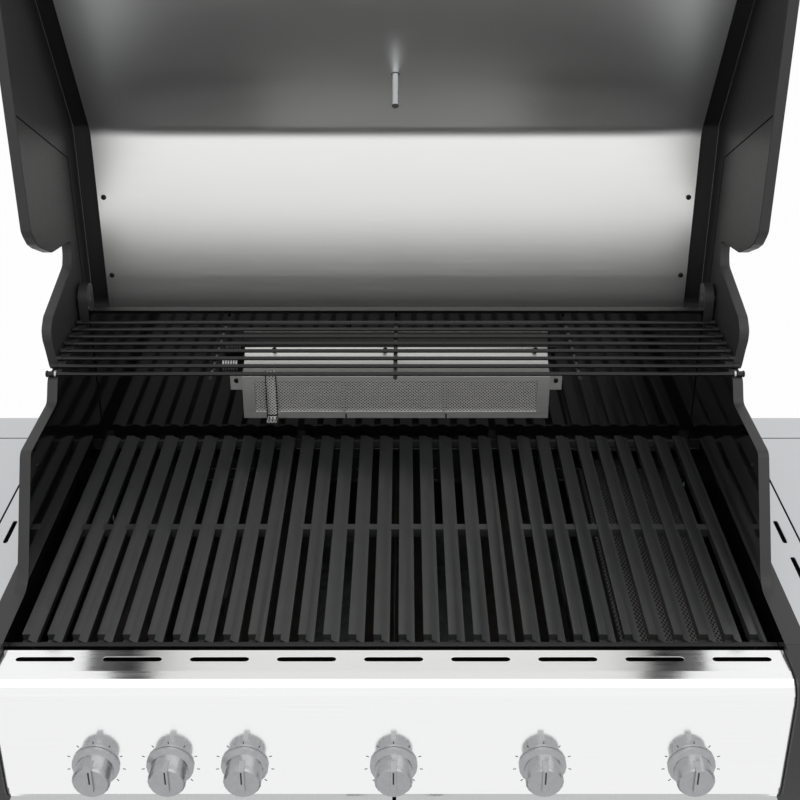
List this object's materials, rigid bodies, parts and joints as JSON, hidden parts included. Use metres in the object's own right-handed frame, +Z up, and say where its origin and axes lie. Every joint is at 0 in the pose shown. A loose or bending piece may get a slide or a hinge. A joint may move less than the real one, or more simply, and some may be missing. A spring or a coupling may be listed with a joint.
{
  "type": "gas grill",
  "caption": "Free-standing gas grill with an open lid, cast grates, a wire warming rack, a rear burner, side shelves and a wheeled cabinet.",
  "frame": {"origin": "on the floor, midway between the grill's left and right ends and midway between the knobs' front and the open lid's rear", "axes": "+X to the cook's right, +Y away from the cook to the back, +Z up"},
  "size_m": [1.6, 0.6572, 1.6635],
  "materials": {
    "dark_paint": "dark grey powder coat on sheet steel, satin",
    "casting_paint": "cast aluminium with a dark grey powder coat, satin",
    "enamel": "black gloss enamel on steel",
    "cast_iron": "dark grey matt enamel on cast iron",
    "dark_wire": "black coat on steel wire",
    "stainless": "stainless steel, brushed",
    "brushed": "stainless steel with a fine matt brushed grain",
    "bright": "bright stainless steel, lightly brushed",
    "steel": "plated steel, satin",
    "galvanised": "zinc coated sheet steel, matt",
    "burner_mesh": "perforated heat-resisting steel sheet, matt",
    "brass": "drawn brass, satin",
    "aluminium": "aluminium tube, mill finish",
    "knob_finish": "turned aluminium, satin",
    "tyre": "black rubber, matt"
  },
  "bodies": {
    "grill": {"left_casting": "casting_paint", "right_casting": "casting_paint", "left_end_cap": "casting_paint", "right_end_cap": "casting_paint", "firebox_front": "enamel", "firebox_back": "enamel", "firebox_bottom": "galvanised", "rear_burner_housing": "stainless", "rear_igniter": "stainless", "burner_1": "stainless", "burner_2": "stainless", "burner_3": "stainless", "burner_4": "stainless", "heat_tent_1": "stainless", "heat_tent_2": "stainless", "heat_tent_3": "stainless", "heat_tent_4": "stainless", "sear_burner": "stainless", "control_panel": "stainless", "rear_burner_tile": "burner_mesh", "gas_manifold": "brass", "rear_gas_tube": "aluminium", "left_shelf": "brushed", "right_shelf": "brushed", "left_hinge_pin": "steel", "right_hinge_pin": "steel", "left_cabinet_side": "dark_paint", "right_cabinet_side": "dark_paint", "cabinet_back": "dark_paint", "cabinet_floor": "dark_paint"},
    "lid": {"lid_left_side": "casting_paint", "lid_right_side": "casting_paint", "lid_skin": "stainless", "lid_liner": "bright", "lid_handle": "stainless", "thermometer": "steel"},
    "grate_left": {"grate_left": "cast_iron"},
    "grate_center": {"grate_center": "cast_iron"},
    "grate_right": {"grate_right": "cast_iron"},
    "warming_rack": {"warming_rack": "dark_wire"},
    "knob_1": {"knob_1": "knob_finish"},
    "knob_2": {"knob_2": "knob_finish"},
    "knob_3": {"knob_3": "knob_finish"},
    "knob_4": {"knob_4": "knob_finish"},
    "knob_5": {"knob_5": "knob_finish"},
    "knob_6": {"knob_6": "knob_finish"},
    "left_door": {"left_door": "stainless", "left_door_handle": "stainless"},
    "right_door": {"right_door": "stainless", "right_door_handle": "stainless"},
    "caster_1": {"caster_fork_1": "steel"},
    "wheel_1": {"caster_wheel_1": "tyre"},
    "caster_2": {"caster_fork_2": "steel"},
    "wheel_2": {"caster_wheel_2": "tyre"},
    "caster_3": {"caster_fork_3": "steel"},
    "wheel_3": {"caster_wheel_3": "tyre"},
    "caster_4": {"caster_fork_4": "steel"},
    "wheel_4": {"caster_wheel_4": "tyre"},
    "grease_tray": {"grease_tray": "galvanised"}
  },
  "joints": [
    {"name": "lid_hinge", "type": "hinge", "parent": "grill", "child": "lid", "pos_m": [0, 0.25665, 1.086], "axis": [1, 0, 0], "range_deg": [0, 90]},
    {"name": "grate_left_lift", "type": "slide", "parent": "grill", "child": "grate_left", "axis": [0, 0, 1], "range_m": [0, 0.025]},
    {"name": "grate_center_lift", "type": "slide", "parent": "grill", "child": "grate_center", "axis": [0, 0, 1], "range_m": [0, 0.025]},
    {"name": "grate_right_lift", "type": "slide", "parent": "grill", "child": "grate_right", "axis": [0, 0, 1], "range_m": [0, 0.025]},
    {"name": "warming_rack_lift", "type": "slide", "parent": "grill", "child": "warming_rack", "axis": [0, 0, 1], "range_m": [0, 0.03]},
    {"name": "knob_1_turn", "type": "hinge", "parent": "grill", "child": "knob_1", "pos_m": [-0.3, -0.29865, 0.805], "axis": [0, -1, 0], "range_deg": [0, 150]},
    {"name": "knob_2_turn", "type": "hinge", "parent": "grill", "child": "knob_2", "pos_m": [-0.225, -0.29865, 0.805], "axis": [0, -1, 0], "range_deg": [0, 150]},
    {"name": "knob_3_turn", "type": "hinge", "parent": "grill", "child": "knob_3", "pos_m": [-0.15, -0.29865, 0.805], "axis": [0, -1, 0], "range_deg": [0, 150]},
    {"name": "knob_4_turn", "type": "hinge", "parent": "grill", "child": "knob_4", "pos_m": [0, -0.29865, 0.805], "axis": [0, -1, 0], "range_deg": [0, 150]},
    {"name": "knob_5_turn", "type": "hinge", "parent": "grill", "child": "knob_5", "pos_m": [0.15, -0.29865, 0.805], "axis": [0, -1, 0], "range_deg": [0, 150]},
    {"name": "knob_6_turn", "type": "hinge", "parent": "grill", "child": "knob_6", "pos_m": [0.3, -0.29865, 0.805], "axis": [0, -1, 0], "range_deg": [0, 150]},
    {"name": "left_door_hinge", "type": "hinge", "parent": "grill", "child": "left_door", "pos_m": [-0.4103, -0.25335, 0.433], "axis": [0, 0, 1], "range_deg": [-110, 0]},
    {"name": "right_door_hinge", "type": "hinge", "parent": "grill", "child": "right_door", "pos_m": [0.4103, -0.25335, 0.433], "axis": [0, 0, 1], "range_deg": [0, 110]},
    {"name": "caster_1_swivel", "type": "hinge", "parent": "grill", "child": "caster_1", "pos_m": [-0.36, -0.18835, 0.1], "axis": [0, 0, 1], "continuous": true},
    {"name": "wheel_1_roll", "type": "hinge", "parent": "caster_1", "child": "wheel_1", "pos_m": [-0.36, -0.16435, 0.0375], "axis": [1, 0, 0], "continuous": true},
    {"name": "caster_2_swivel", "type": "hinge", "parent": "grill", "child": "caster_2", "pos_m": [0.36, -0.18835, 0.1], "axis": [0, 0, 1], "continuous": true},
    {"name": "wheel_2_roll", "type": "hinge", "parent": "caster_2", "child": "wheel_2", "pos_m": [0.36, -0.16435, 0.0375], "axis": [1, 0, 0], "continuous": true},
    {"name": "caster_3_swivel", "type": "hinge", "parent": "grill", "child": "caster_3", "pos_m": [-0.36, 0.19165, 0.1], "axis": [0, 0, 1], "continuous": true},
    {"name": "wheel_3_roll", "type": "hinge", "parent": "caster_3", "child": "wheel_3", "pos_m": [-0.36, 0.21565, 0.0375], "axis": [1, 0, 0], "continuous": true},
    {"name": "caster_4_swivel", "type": "hinge", "parent": "grill", "child": "caster_4", "pos_m": [0.36, 0.19165, 0.1], "axis": [0, 0, 1], "continuous": true},
    {"name": "wheel_4_roll", "type": "hinge", "parent": "caster_4", "child": "wheel_4", "pos_m": [0.36, 0.21565, 0.0375], "axis": [1, 0, 0], "continuous": true},
    {"name": "grease_tray_slide", "type": "slide", "parent": "grill", "child": "grease_tray", "axis": [0, 1, 0], "range_m": [0, 0.25]}
  ]
}
